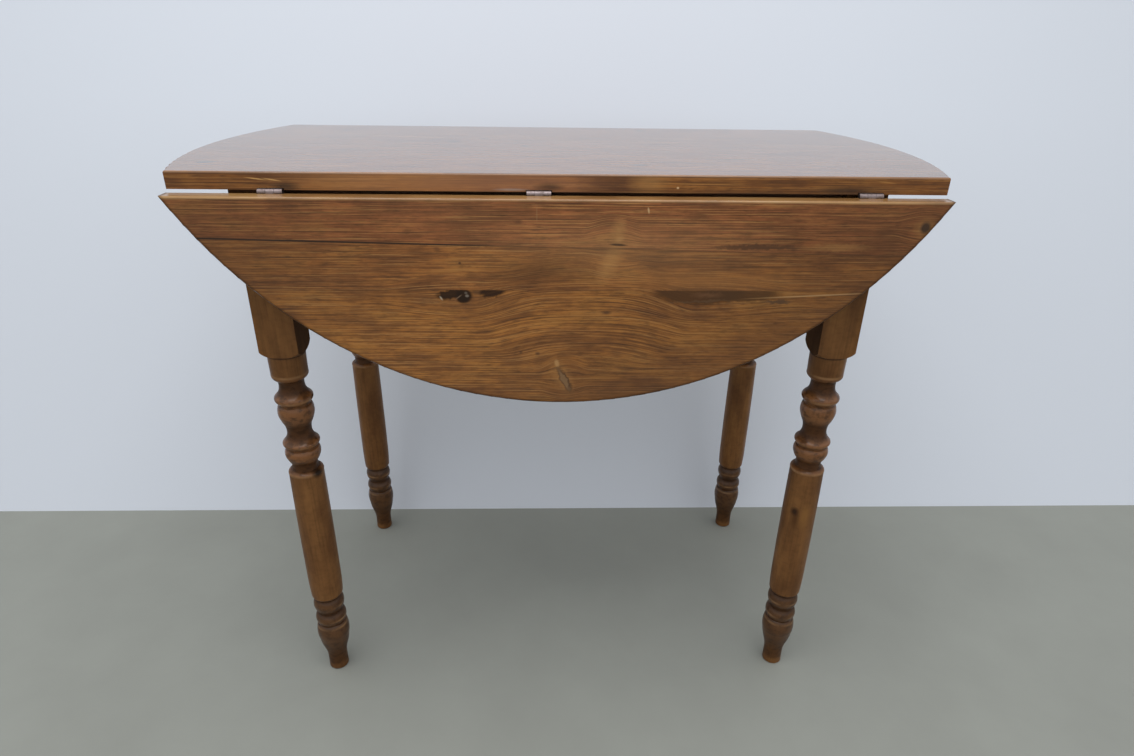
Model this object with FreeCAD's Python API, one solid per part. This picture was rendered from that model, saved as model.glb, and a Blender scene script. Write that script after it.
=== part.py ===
import FreeCAD, Part
import math
import os

from FreeCAD import Placement, Rotation, Vector

# Round drop-leaf table, both leaves hanging. Millimetres, +Z up.
# The origin is on the floor under the middle of the top. X runs along the hinge seams and the front is at -Y.

# Boards: raised, the leaves make a nearly round top with the centre board, whose ends are flatter arcs
table_height = 720.0
table_length = 874.0
end_rise = 36.0
centre_width = 410.0
leaf_depth = 230.0
board_thickness = 18.0
board_edge_round = 2.0
leaf_gap = 2.0

# Legs: a square block above, turned below
side_overhang = 17.5
end_overhang = 89.5
leg_block = 45.0
leg_block_length = 196.0
shoulder_height = 9.0
shoulder_bulge = 1.6
shoulder_overreach = 0.5

# Upper turnings: drop below the block, radius, bulge of the curve that comes from the point before
upper_turning = [
    (0.0, 22.0, 0.0),
    (26.0, 21.5, 0.0),
    (33.5, 17.6, 1.6),
    (36.5, 15.3, 0.2),
    (44.0, 15.0, -0.3),
    (56.0, 21.4, -1.5),
    (63.0, 21.6, 1.3),
    (66.5, 18.8, 0.2),
    (68.5, 18.8, 0.0),
    (70.5, 20.4, 0.2),
    (84.5, 20.9, 1.1),
    (96.0, 16.2, 0.3),
    (107.0, 14.9, -0.5),
    (119.5, 21.3, -1.4),
    (124.5, 21.4, 1.0),
    (127.5, 18.8, 0.2),
    (129.5, 18.8, 0.0),
    (131.0, 20.4, 0.2),
    (143.0, 20.3, 1.4),
    (150.5, 16.2, 0.3),
    (157.0, 15.7, -0.2),
    (160.0, 16.3, 0.0),
    (162.0, 19.9, 0.2),
    (166.5, 21.4, 0.9),
]

# Lower turnings: height above the floor, radius, bulge of the curve that comes from the point before
lower_turning = [
    (165.0, 21.9, 0.4),
    (139.0, 20.9, 0.2),
    (136.5, 19.6, 0.4),
    (133.5, 17.2, 0.0),
    (131.5, 17.6, 0.0),
    (112.0, 18.2, 2.8),
    (108.5, 16.8, 0.0),
    (106.0, 17.2, 0.0),
    (88.5, 18.6, 2.9),
    (86.5, 18.2, 0.0),
    (84.0, 20.2, 0.3),
    (60.0, 20.8, 1.6),
    (42.0, 17.0, 0.5),
    (30.0, 13.9, -0.2),
    (20.0, 13.2, -0.15),
    (3.0, 13.4, 0.0),
    (0.0, 11.6, 0.7),
]

# Rails, their tenons and the mortises in the leg blocks
rail_height = 100.0
rail_thickness = 22.0
rail_setback = 10.5
end_rail_setback = 10.5
tenon_thickness = 8.0
tenon_length = 17.0
tenon_shoulder = 10.0
glue_clearance = 0.1
mortise_spare_depth = 1.0

# Corner blocks
corner_block_leg = 50.0
corner_block_height = 60.0
corner_block_drop = 5.0
corner_screw_spacing = 30.0
corner_screw_length = 45.0

# Buttons that hold the centre board down to the rails
button_width = 30.0
button_length = 40.0
button_thickness = 18.0
button_tongue_length = 8.0
button_tongue_thickness = 8.0
button_tongue_drop = 7.0
button_slot_play = 1.0
button_gap = 35.0
button_screw_length = 28.0

# Hinges: flap plates let in flush, with three knuckles on a steel pin
left_hinge_inset = 104.0
right_hinge_inset = 81.0
middle_hinge_x = -25.0
hinge_width = 25.0
hinge_plate_thickness = 1.5
hinge_knuckle_radius = 3.5
hinge_middle_knuckle = 8.4
hinge_knuckle_gap = 0.3
hinge_pin_radius = 1.25
hinge_running_clearance = 0.05
press_clearance = 0.01
top_plate_length = 16.0
leaf_plate_length = 34.0
plate_screw_offset = 7.0
plate_first_screw = 11.0
plate_last_screw = 25.0
notch_room = 0.5
notch_play = 1.0

# Wood screws: countersunk heads with a slot
small_head_radius = 3.0
small_shank_radius = 1.5
small_screw_length = 12.0
large_head_radius = 4.0
large_shank_radius = 2.0
hanger_screw_length = 18.0
screw_tip_length = 3.0
screw_tip_radius = 0.3
screw_slot_width = 0.8
screw_slot_depth = 0.7
screw_clearance = 0.02

# Leaf brackets: a wooden arm on a horizontal pin in a steel hanger on the long rail
bracket_place = 130.0
bracket_drop = 57.0
bracket_swing = 112.0
bracket_bearing = 18.0
bracket_bearing_clearance = 0.3
bracket_leaf_clearance = 2.0
arm_thickness = 18.0
arm_width = 26.0
arm_side_clearance = 0.4
arm_running_clearance = 0.1
hanger_thickness = 2.0
hanger_foot = 12.0
hanger_tab = 42.0
hanger_ear_radius = 8.0
hanger_screw_offset = 8.0
hanger_screw_rise = 28.0
bracket_pin_radius = 3.0
bracket_pin_head_radius = 5.5
bracket_pin_head = 2.5

# Places worked out from the sizes above
underside = table_height - board_thickness
hinge_axis_drop = hinge_knuckle_radius - hinge_plate_thickness
axis_y = centre_width / 2 + leaf_gap / 2
axis_z = underside - hinge_axis_drop
leaf_inner_y = axis_y + hinge_axis_drop
block_bottom = underside - leg_block_length
half_length = table_length / 2
leg_x = half_length - end_overhang - leg_block / 2
leg_y = centre_width / 2 - side_overhang - leg_block / 2
leg_inner_x = leg_x - leg_block / 2
leg_inner_y = leg_y - leg_block / 2
rail_bottom = underside - rail_height
long_rail_outer = leg_y + leg_block / 2 - rail_setback
long_rail_inner = long_rail_outer - rail_thickness
end_rail_outer = leg_x + leg_block / 2 - end_rail_setback
end_rail_inner = end_rail_outer - rail_thickness
button_place = leg_inner_x - corner_block_leg - button_gap - button_width / 2
seam_half_length = half_length - end_rise
end_radius = ((centre_width / 2) ** 2 + end_rise ** 2) / (2 * end_rise)
left_hinge_x = left_hinge_inset - seam_half_length
right_hinge_x = seam_half_length - right_hinge_inset
pivot_y = leaf_inner_y - bracket_leaf_clearance - arm_thickness / 2
pivot_z = underside - bracket_drop

x_axis = Vector(1, 0, 0)
z_axis = Vector(0, 0, 1)
outwards = Vector(0, -1, 0)
inwards = Vector(0, 1, 0)
origin = Vector(0, 0, 0)
side_signs = {"front": -1, "rear": 1}
end_signs = {"left": -1, "right": 1}
hinge_places = {
    "front": {"left": left_hinge_x, "middle": middle_hinge_x, "right": right_hinge_x},
    "rear": {"left": -right_hinge_x, "middle": -middle_hinge_x, "right": -left_hinge_x},
}
bracket_places = {"left": -bracket_place, "right": bracket_place}


def box(x0, x1, y0, y1, z0, z1):
    low = Vector(min(x0, x1), min(y0, y1), min(z0, z1))
    return Part.makeBox(abs(x1 - x0), abs(y1 - y0), abs(z1 - z0), low)


def turned_about(shape):
    """The same piece at the opposite side: half a turn about the table's middle."""
    other = shape.copy()
    other.rotate(origin, z_axis, 180)
    return other


def at_side(make, x, side):
    """A piece made for the front, or made mirrored in x and brought to the rear by half a turn."""
    return make(x) if side == "front" else turned_about(make(-x))


def line(start, end):
    return Part.LineSegment(start, end).toShape()


def curve(start, end, bulge):
    """A straight line, or an arc that swells by bulge to the left of the way from start to end."""
    if bulge == 0:
        return line(start, end)
    along = end - start
    outward = Vector(-along.z, 0, along.x).normalize()
    return Part.Arc(start, (start + end) * 0.5 + outward * bulge, end).toShape()


def closed_face(edges):
    return Part.Face(Part.Wire(edges))


def polygon_face(points):
    return Part.Face(Part.makePolygon(points + [points[0]]))


# Screws


def screw_form(head_radius, shank_radius, length, extra):
    head_height = head_radius - shank_radius
    head = Part.makeCone(head_radius + extra, shank_radius + extra, head_height)
    shank_length = length - head_height - screw_tip_length
    shank = Part.makeCylinder(shank_radius + extra, shank_length, Vector(0, 0, head_height))
    tip_start = Vector(0, 0, head_height + shank_length)
    tip = Part.makeCone(shank_radius + extra, screw_tip_radius + extra, screw_tip_length + extra, tip_start)
    return head.fuse([shank, tip]).removeSplitter()


def place_screw(form, head_centre, direction):
    form.Placement = Placement(head_centre, Rotation(z_axis, direction))
    return form


def screw(head_centre, direction, head_radius, shank_radius, length):
    form = screw_form(head_radius, shank_radius, length, 0)
    slot = box(-head_radius, head_radius, -screw_slot_width / 2, screw_slot_width / 2, 0, screw_slot_depth)
    return place_screw(form.cut(slot), head_centre, direction)


def screw_hole(head_centre, direction, head_radius, shank_radius, length):
    return place_screw(screw_form(head_radius, shank_radius, length, screw_clearance), head_centre, direction)


# Hinges


def top_side(inward, up, x=0.0):
    """A point of the top's flap, from the hinge axis."""
    return Vector(x, -axis_y + inward, axis_z + up)


def leaf_side(down, outward, x=0.0):
    """The same point of the leaf's flap, which hangs a quarter turn away."""
    return Vector(x, -axis_y - outward, axis_z - down)


def knuckle_section(place, length, x):
    """A flap rolled round the pin: the plate is tangent to the knuckle."""
    top = hinge_knuckle_radius
    under = hinge_knuckle_radius - hinge_plate_thickness
    meet = math.sqrt(top ** 2 - under ** 2)
    edges = [
        line(place(0, top, x), place(length, top, x)),
        line(place(length, top, x), place(length, under, x)),
        line(place(length, under, x), place(meet, under, x)),
        Part.Arc(place(meet, under, x), place(0, -top, x), place(-top, 0, x)).toShape(),
        Part.Arc(place(-top, 0, x), place(-top * math.sqrt(0.5), top * math.sqrt(0.5), x), place(0, top, x)).toShape(),
    ]
    return closed_face(edges)


def plate_section(place, length, x):
    """The stretch of a flap that is cut away to let the other flap's knuckle turn."""
    start = hinge_knuckle_radius + hinge_knuckle_gap
    under = hinge_knuckle_radius - hinge_plate_thickness
    points = [
        place(start, under, x),
        place(length, under, x),
        place(length, hinge_knuckle_radius, x),
        place(start, hinge_knuckle_radius, x),
    ]
    return polygon_face(points)


def flap(place, length, x, knuckles, gaps, bore_radius):
    stretches = [knuckle_section(place, length, start).extrude(x_axis * (end - start)) for start, end in knuckles]
    stretches += [plate_section(place, length, start).extrude(x_axis * (end - start)) for start, end in gaps]
    whole = stretches[0].fuse(stretches[1:]).removeSplitter()
    bore = Part.makeCylinder(bore_radius, hinge_width, place(0, 0, x - hinge_width / 2), x_axis)
    return whole.cut(bore)


def hinge_stretches(x):
    """Where the outer and middle knuckles lie, and the wider room that each leaves for the other."""
    low = x - hinge_width / 2
    high = x + hinge_width / 2
    middle_low = x - hinge_middle_knuckle / 2
    middle_high = x + hinge_middle_knuckle / 2
    outer = [(low, middle_low - hinge_knuckle_gap), (middle_high + hinge_knuckle_gap, high)]
    outer_gap = [(middle_low - hinge_knuckle_gap, middle_high + hinge_knuckle_gap)]
    middle = [(middle_low, middle_high)]
    middle_gap = [(low, middle_low), (middle_high, high)]
    return outer, outer_gap, middle, middle_gap


def top_screw_places(x):
    under = hinge_axis_drop
    return [top_side(plate_first_screw, under, x + offset) for offset in (-plate_screw_offset, plate_screw_offset)]


def leaf_screw_places(x):
    under = hinge_axis_drop
    pair = [leaf_side(plate_first_screw, under, x + offset) for offset in (-plate_screw_offset, plate_screw_offset)]
    return pair + [leaf_side(plate_last_screw, under, x)]


def hinge_top_plate(x):
    outer, outer_gap, _, _ = hinge_stretches(x)
    plate = flap(top_side, top_plate_length, x, outer, outer_gap, hinge_pin_radius + press_clearance)
    return plate.cut([small_hole(place, z_axis) for place in top_screw_places(x)])


def hinge_leaf_plate(x):
    _, _, middle, middle_gap = hinge_stretches(x)
    bore_radius = hinge_pin_radius + hinge_running_clearance
    plate = flap(leaf_side, leaf_plate_length, x, middle, middle_gap, bore_radius)
    return plate.cut([small_hole(place, outwards) for place in leaf_screw_places(x)])


def hinge_pin(x):
    return Part.makeCylinder(hinge_pin_radius, hinge_width, top_side(0, 0, x - hinge_width / 2), x_axis)


def small_screw(place, direction):
    return screw(place, direction, small_head_radius, small_shank_radius, small_screw_length)


def hinge_top_screws(x):
    return Part.makeCompound([small_screw(place, z_axis) for place in top_screw_places(x)])


def hinge_leaf_screws(x):
    return Part.makeCompound([small_screw(place, outwards) for place in leaf_screw_places(x)])


def small_hole(place, direction):
    return screw_hole(place, direction, small_head_radius, small_shank_radius, small_screw_length)


def hinge_recess(place, length, x):
    """The notch for the knuckles in a board's arris, and the bed that lets the plate in flush."""
    half_notch = hinge_width / 2 + notch_play
    half_plate = hinge_width / 2
    edge = leaf_gap / 2
    board_face = hinge_axis_drop
    notch_high = hinge_knuckle_radius + notch_room
    notch = box_between(place(edge - notch_play, board_face - notch_play, x - half_notch),
                        place(notch_high, notch_high, x + half_notch))
    bed = box_between(place(edge, board_face - notch_play, x - half_plate),
                      place(length, board_face + hinge_plate_thickness, x + half_plate))
    return notch.fuse(bed)


def box_between(corner, opposite):
    return box(corner.x, opposite.x, corner.y, opposite.y, corner.z, opposite.z)


# Boards


def eased_disc(radius, middle_x, middle_y):
    """A round board with the upper arris of its rim eased."""
    eased_by = board_edge_round * (1 - math.sqrt(0.5))
    low_middle = Vector(0, 0, underside)
    low_side = Vector(radius, 0, underside)
    high_side = Vector(radius, 0, table_height - board_edge_round)
    eased = Vector(radius - eased_by, 0, table_height - eased_by)
    high_rim = Vector(radius - board_edge_round, 0, table_height)
    high_middle = Vector(0, 0, table_height)
    edges = [
        line(low_middle, low_side),
        line(low_side, high_side),
        Part.Arc(high_side, eased, high_rim).toShape(),
        line(high_rim, high_middle),
        line(high_middle, low_middle),
    ]
    disc = closed_face(edges).revolve(origin, z_axis, 360)
    disc.translate(Vector(middle_x, middle_y, 0))
    return disc


def seam_side(y, x, inward):
    """One long side of a board: straight up from the underside, then eased into the upper face."""
    eased_by = board_edge_round * (1 - math.sqrt(0.5))
    side = Vector(x, y, table_height - board_edge_round)
    top = Vector(x, y + inward * board_edge_round, table_height)
    middle = Vector(x, y + inward * eased_by, table_height - eased_by)
    low = Vector(x, y, underside)
    return [line(low, side), Part.Arc(side, middle, top).toShape()], low, top


def board_strip(near_y, far_y):
    """A bar with its upper arrises eased, wide enough to cut a board out of a disc."""
    past_end = half_length + board_thickness
    near_edges, near_low, near_top = seam_side(near_y, -past_end, 1)
    far_edges, far_low, far_top = seam_side(far_y, -past_end, -1)
    edges = near_edges + [line(near_top, far_top)] + far_edges + [line(far_low, near_low)]
    wire = Part.Wire(Part.__sortEdges__(edges))
    return Part.Face(wire).extrude(x_axis * 2 * past_end)


def centre_top():
    half = centre_width / 2
    middle = end_radius - half_length
    lens = eased_disc(end_radius, middle, 0).common(eased_disc(end_radius, -middle, 0))
    board = lens.common(board_strip(-half, half))
    cuts = []
    for x in hinge_places["front"].values():
        front = [hinge_recess(top_side, top_plate_length, x)]
        front += [small_hole(place, z_axis) for place in top_screw_places(x)]
        cuts += front + [turned_about(cut) for cut in front]
    cuts += [button_hole(place) for place in button_screw_places()]
    return board.cut(cuts)


def front_leaf():
    """A board as wide as the top at the seam, turned down a quarter turn about the hinge axis."""
    seam = axis_y + leaf_gap / 2
    radius = (seam_half_length ** 2 + leaf_depth ** 2) / (2 * leaf_depth)
    past_rim = -(seam + leaf_depth + board_thickness)
    board = eased_disc(radius, 0, radius - leaf_depth - seam).common(board_strip(past_rim, -seam))
    board.rotate(top_side(0, 0), x_axis, 90)
    cuts = []
    for x in hinge_places["front"].values():
        cuts.append(hinge_recess(leaf_side, leaf_plate_length, x))
        cuts += [small_hole(place, outwards) for place in leaf_screw_places(x)]
    return board.cut(cuts)


# Legs


def leg_block_form():
    """The square block, with its corners turned to a rounded shoulder at the lower end."""
    collar = upper_turning[0][1]
    corner = leg_block / math.sqrt(2) + shoulder_overreach
    shoulder_end = Vector(corner, 0, block_bottom + shoulder_height)
    collar_edge = Vector(collar, 0, block_bottom)
    foot = Vector(0, 0, block_bottom)
    top = Vector(0, 0, underside)
    edges = [
        line(top, Vector(corner, 0, underside)),
        line(Vector(corner, 0, underside), shoulder_end),
        curve(shoulder_end, collar_edge, shoulder_bulge),
        line(collar_edge, foot),
        line(foot, top),
    ]
    shoulder = closed_face(edges).revolve(origin, z_axis, 360)
    half = leg_block / 2
    return box(-half, half, -half, half, block_bottom, underside).common(shoulder)


def leg_turning():
    points = [(radius, block_bottom - drop, bulge) for drop, radius, bulge in upper_turning]
    points += [(radius, height, bulge) for height, radius, bulge in lower_turning]
    edges = []
    for (radius0, height0, _), (radius1, height1, bulge) in zip(points, points[1:]):
        edges.append(curve(Vector(radius0, 0, height0), Vector(radius1, 0, height1), bulge))
    top = Vector(0, 0, block_bottom)
    edges.append(line(Vector(points[-1][0], 0, 0), origin))
    edges.append(line(origin, top))
    edges.append(line(top, Vector(points[0][0], 0, block_bottom)))
    return closed_face(edges).revolve(origin, z_axis, 360)


def leg(sx, sy):
    form = leg_block_form().fuse(leg_turning()).removeSplitter()
    form.translate(Vector(sx * leg_x, sy * leg_y, 0))
    cuts = [long_tenon(sx, sy, glue_clearance, mortise_spare_depth)]
    cuts.append(end_tenon(sx, sy, glue_clearance, mortise_spare_depth))
    cuts += [corner_hole(place, sx, sy) for place in corner_screw_places(sx, sy)]
    return form.cut(cuts)


# Rails


def long_tenon(sx, sy, play=0.0, deeper=0.0):
    middle = long_rail_outer - rail_thickness / 2
    half = tenon_thickness / 2 + play
    low = rail_bottom + tenon_shoulder - play
    high = underside - tenon_shoulder + play
    end = leg_inner_x + tenon_length + deeper
    return box(sx * leg_inner_x, sx * end, sy * (middle - half), sy * (middle + half), low, high)


def end_tenon(sx, sy, play=0.0, deeper=0.0):
    middle = end_rail_outer - rail_thickness / 2
    half = tenon_thickness / 2 + play
    low = rail_bottom + tenon_shoulder - play
    high = underside - tenon_shoulder + play
    end = leg_inner_y + tenon_length + deeper
    return box(sx * (middle - half), sx * (middle + half), sy * leg_inner_y, sy * end, low, high)


def long_rail(sy):
    rail = box(-leg_inner_x, leg_inner_x, sy * long_rail_inner, sy * long_rail_outer, rail_bottom, underside)
    rail = rail.fuse([long_tenon(-1, sy), long_tenon(1, sy)]).removeSplitter()
    cuts = [button_slot_long(x, sy) for x in (-button_place, button_place)]
    for x in bracket_places.values():
        for place in hanger_screw_places(x):
            hole = hanger_hole(place)
            cuts.append(hole if sy < 0 else turned_about(hole))
    return rail.cut(cuts)


def end_rail(sx):
    rail = box(sx * end_rail_inner, sx * end_rail_outer, -leg_inner_y, leg_inner_y, rail_bottom, underside)
    rail = rail.fuse([end_tenon(sx, -1), end_tenon(sx, 1)]).removeSplitter()
    return rail.cut(button_slot_end(sx))


# Corner blocks


def corner_block(sx, sy):
    """A glued block behind the leg, notched round its inner corner, with a face at 45 degrees."""
    low = underside - corner_block_drop - corner_block_height
    outline = [
        (leg_inner_x - corner_block_leg, long_rail_inner),
        (leg_inner_x, long_rail_inner),
        (leg_inner_x, leg_inner_y),
        (end_rail_inner, leg_inner_y),
        (end_rail_inner, corner_diagonal() - end_rail_inner),
    ]
    points = [Vector(sx * x, sy * y, low) for x, y in outline]
    block = polygon_face(points).extrude(z_axis * corner_block_height)
    return block.cut([corner_hole(place, sx, sy) for place in corner_screw_places(sx, sy)])


def corner_diagonal():
    """The sum of x and y along the block's slanting face."""
    return leg_inner_x - corner_block_leg + long_rail_inner


def corner_screw_places(sx, sy):
    # The screws stand square to the slanting face, in line with the leg's inner corner
    across = (corner_diagonal() - leg_inner_x - leg_inner_y) / 2
    middle = underside - corner_block_drop - corner_block_height / 2
    heights = (middle - corner_screw_spacing / 2, middle + corner_screw_spacing / 2)
    return [Vector(sx * (leg_inner_x + across), sy * (leg_inner_y + across), height) for height in heights]


def corner_screw(place, sx, sy):
    return screw(place, Vector(sx, sy, 0), large_head_radius, large_shank_radius, corner_screw_length)


def corner_hole(place, sx, sy):
    return screw_hole(place, Vector(sx, sy, 0), large_head_radius, large_shank_radius, corner_screw_length)


# Buttons


def button_tongue_heights():
    high = underside - button_tongue_drop
    return high - button_tongue_thickness, high


def button_long(x, sy):
    low, high = button_tongue_heights()
    half = button_width / 2
    inner = long_rail_inner - button_length
    body = box(x - half, x + half, sy * inner, sy * long_rail_inner, underside - button_thickness, underside)
    tongue = box(x - half, x + half, sy * long_rail_inner, sy * (long_rail_inner + button_tongue_length), low, high)
    return body.fuse(tongue).removeSplitter()


def button_end(sx):
    low, high = button_tongue_heights()
    half = button_width / 2
    inner = end_rail_inner - button_length
    body = box(sx * inner, sx * end_rail_inner, -half, half, underside - button_thickness, underside)
    tongue = box(sx * end_rail_inner, sx * (end_rail_inner + button_tongue_length), -half, half, low, high)
    return body.fuse(tongue).removeSplitter()


def button_slot_long(x, sy):
    low, high = button_tongue_heights()
    half = button_width / 2 + button_slot_play
    deep = long_rail_inner + button_tongue_length + button_slot_play
    return box(x - half, x + half, sy * long_rail_inner, sy * deep, low - button_slot_play, high)


def button_slot_end(sx):
    low, high = button_tongue_heights()
    half = button_width / 2 + button_slot_play
    deep = end_rail_inner + button_tongue_length + button_slot_play
    return box(sx * end_rail_inner, sx * deep, -half, half, low - button_slot_play, high)


def button_screw_places():
    low = underside - button_thickness
    y = long_rail_inner - button_length / 2
    x = end_rail_inner - button_length / 2
    long_places = [Vector(sx * button_place, sy * y, low) for sx in (-1, 1) for sy in (-1, 1)]
    return long_places + [Vector(sx * x, 0, low) for sx in (-1, 1)]


def button_screw(place):
    return screw(place, z_axis, large_head_radius, large_shank_radius, button_screw_length)


def button_hole(place):
    return screw_hole(place, z_axis, large_head_radius, large_shank_radius, button_screw_length)


def top_buttons():
    buttons = [button_long(sx * button_place, sy) for sx in (-1, 1) for sy in (-1, 1)]
    buttons += [button_end(sx) for sx in (-1, 1)]
    holes = [button_hole(place) for place in button_screw_places()]
    return [button.cut(holes) for button in buttons]


# Leaf brackets


def arm_point(along, towards_leaf, x):
    return Vector(x, -(pivot_y + towards_leaf), pivot_z - along)


def bracket_arm(x):
    """Round at the pin, and cut at the tip to a flat that lies under the raised leaf."""
    lift = -math.cos(math.radians(bracket_swing))
    lean = math.sin(math.radians(bracket_swing))
    bearing_height = bracket_drop - bracket_bearing_clearance
    half = arm_thickness / 2
    flat_start = (bearing_height - lean * half) / lift
    tip = flat_start + bracket_bearing * lean
    tip_towards_leaf = half - bracket_bearing * lift
    low_x = x - arm_width / 2
    edges = [
        Part.Arc(arm_point(0, -half, low_x), arm_point(-half, 0, low_x), arm_point(0, half, low_x)).toShape(),
        line(arm_point(0, half, low_x), arm_point(flat_start, half, low_x)),
        line(arm_point(flat_start, half, low_x), arm_point(tip, tip_towards_leaf, low_x)),
        line(arm_point(tip, tip_towards_leaf, low_x), arm_point(tip, -half, low_x)),
        line(arm_point(tip, -half, low_x), arm_point(0, -half, low_x)),
    ]
    arm = closed_face(edges).extrude(x_axis * arm_width)
    bore_radius = bracket_pin_radius + arm_running_clearance
    return arm.cut(Part.makeCylinder(bore_radius, arm_width, arm_point(0, 0, low_x), x_axis))


def hanger_half_width():
    return arm_width / 2 + arm_side_clearance + hanger_thickness


def hanger_ear(x):
    base = -long_rail_outer
    eye = -pivot_y
    points = [
        Vector(x, base, pivot_z - hanger_foot),
        Vector(x, eye, pivot_z - hanger_ear_radius),
        Vector(x, eye, pivot_z + hanger_ear_radius),
        Vector(x, base, pivot_z + hanger_foot),
    ]
    edges = [
        line(points[0], points[1]),
        Part.Arc(points[1], Vector(x, eye - hanger_ear_radius, pivot_z), points[2]).toShape(),
        line(points[2], points[3]),
        line(points[3], points[0]),
    ]
    return closed_face(edges).extrude(x_axis * hanger_thickness)


def bracket_hanger(x):
    """A plate on the rail with two ears folded out, one each side of the arm."""
    half = hanger_half_width()
    face = -long_rail_outer
    plate = box(x - half, x + half, face - hanger_thickness, face, pivot_z - hanger_foot, pivot_z + hanger_tab)
    ears = [hanger_ear(x - half), hanger_ear(x + half - hanger_thickness)]
    hanger = plate.fuse(ears).removeSplitter()
    eye_radius = bracket_pin_radius + press_clearance
    cuts = [Part.makeCylinder(eye_radius, 2 * half, Vector(x - half, -pivot_y, pivot_z), x_axis)]
    cuts += [hanger_hole(place) for place in hanger_screw_places(x)]
    return hanger.cut(cuts)


def bracket_pin(x):
    half = hanger_half_width()
    start = Vector(x - half - bracket_pin_head, -pivot_y, pivot_z)
    shank = Part.makeCylinder(bracket_pin_radius, 2 * (half + bracket_pin_head), start, x_axis)
    far = Vector(x + half, -pivot_y, pivot_z)
    heads = [Part.makeCylinder(bracket_pin_head_radius, bracket_pin_head, place, x_axis) for place in (start, far)]
    return shank.fuse(heads).removeSplitter()


def hanger_screw_places(x):
    y = -(long_rail_outer + hanger_thickness)
    height = pivot_z + hanger_screw_rise
    return [Vector(x + offset, y, height) for offset in (-hanger_screw_offset, hanger_screw_offset)]


def hanger_screws(x):
    size = (small_head_radius, small_shank_radius, hanger_screw_length)
    return Part.makeCompound([screw(place, inwards, *size) for place in hanger_screw_places(x)])


def hanger_hole(place):
    return screw_hole(place, inwards, small_head_radius, small_shank_radius, hanger_screw_length)


# Assembly: one named node for each piece, and one for each group of like fasteners


def separate_solids(groups):
    return [solid for group in groups for solid in group.Solids]


def board_nodes():
    leaf = front_leaf()
    return {"centre_top": centre_top(), "front_leaf": leaf, "rear_leaf": turned_about(leaf)}


def frame_nodes():
    nodes = {"front_rail": long_rail(-1), "rear_rail": long_rail(1)}
    screws = []
    for end, sx in end_signs.items():
        nodes[end + "_end_rail"] = end_rail(sx)
        for side, sy in side_signs.items():
            nodes[side + "_" + end + "_leg"] = leg(sx, sy)
            nodes[side + "_" + end + "_corner_block"] = corner_block(sx, sy)
            screws += [corner_screw(place, sx, sy) for place in corner_screw_places(sx, sy)]
    nodes["corner_block_screws"] = Part.makeCompound(screws)
    nodes["top_buttons"] = Part.makeCompound(top_buttons())
    nodes["top_button_screws"] = Part.makeCompound([button_screw(place) for place in button_screw_places()])
    return nodes


def hinge_nodes():
    nodes = {}
    top_screws = []
    for side in side_signs:
        leaf_screws = []
        for name, x in hinge_places[side].items():
            hinge = side + "_" + name + "_hinge_"
            nodes[hinge + "top_plate"] = at_side(hinge_top_plate, x, side)
            nodes[hinge + "leaf_plate"] = at_side(hinge_leaf_plate, x, side)
            nodes[hinge + "pin"] = at_side(hinge_pin, x, side)
            top_screws.append(at_side(hinge_top_screws, x, side))
            leaf_screws.append(at_side(hinge_leaf_screws, x, side))
        nodes[side + "_leaf_hinge_screws"] = Part.makeCompound(separate_solids(leaf_screws))
    nodes["hinge_top_screws"] = Part.makeCompound(separate_solids(top_screws))
    return nodes


def bracket_nodes():
    nodes = {}
    screws = []
    for side in side_signs:
        for name, x in bracket_places.items():
            bracket = side + "_" + name + "_bracket_"
            nodes[bracket + "arm"] = at_side(bracket_arm, x, side)
            nodes[bracket + "hanger"] = at_side(bracket_hanger, x, side)
            nodes[bracket + "pin"] = at_side(bracket_pin, x, side)
            screws.append(at_side(hanger_screws, x, side))
    nodes["bracket_hanger_screws"] = Part.makeCompound(separate_solids(screws))
    return nodes


os.makedirs("parts", exist_ok=True)
for group in (board_nodes(), frame_nodes(), hinge_nodes(), bracket_nodes()):
    for node, shape in group.items():
        shape.exportStep("parts/" + node + ".step")
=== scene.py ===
import math

import bpy
from mathutils import Matrix, Vector


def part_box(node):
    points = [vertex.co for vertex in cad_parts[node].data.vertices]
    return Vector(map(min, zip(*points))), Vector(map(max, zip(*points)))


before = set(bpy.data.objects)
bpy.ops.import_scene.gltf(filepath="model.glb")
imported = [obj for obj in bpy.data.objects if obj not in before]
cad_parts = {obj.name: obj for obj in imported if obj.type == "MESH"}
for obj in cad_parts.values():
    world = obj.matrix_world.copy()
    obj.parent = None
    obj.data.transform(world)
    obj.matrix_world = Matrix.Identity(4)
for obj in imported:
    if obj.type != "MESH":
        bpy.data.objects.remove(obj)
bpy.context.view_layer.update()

# Camera: where the photograph was taken from, at eye height close in front of the table, looking
# down at it. The place, the turn and the wide lens were solved from the corners of the top, the
# leaf's outline and the feet.
photo_width_px = 1134
focal_length_px = 709.26
sensor_width_mm = 36.0
near_clip = 0.05
camera_place = Vector((-0.01842, -0.94369, 0.84645))
yaw, pitch, roll = 0.03403, 0.44910, 0.01500

looking = Vector((math.sin(yaw) * math.cos(pitch), math.cos(yaw) * math.cos(pitch), -math.sin(pitch)))
level_right = Vector((math.cos(yaw), -math.sin(yaw), 0.0))
level_up = level_right.cross(looking)
camera_right = math.cos(roll) * level_right + math.sin(roll) * level_up
camera_up = math.cos(roll) * level_up - math.sin(roll) * level_right
turn = Matrix((camera_right, camera_up, -looking)).transposed().to_4x4()
camera = bpy.data.objects.new("camera", bpy.data.cameras.new("camera"))
camera.data.sensor_width = sensor_width_mm
camera.data.lens = focal_length_px * sensor_width_mm / photo_width_px
camera.data.clip_start = near_clip
camera.matrix_world = Matrix.Translation(camera_place) @ turn
bpy.context.scene.collection.objects.link(camera)
bpy.context.scene.camera = camera


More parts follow.
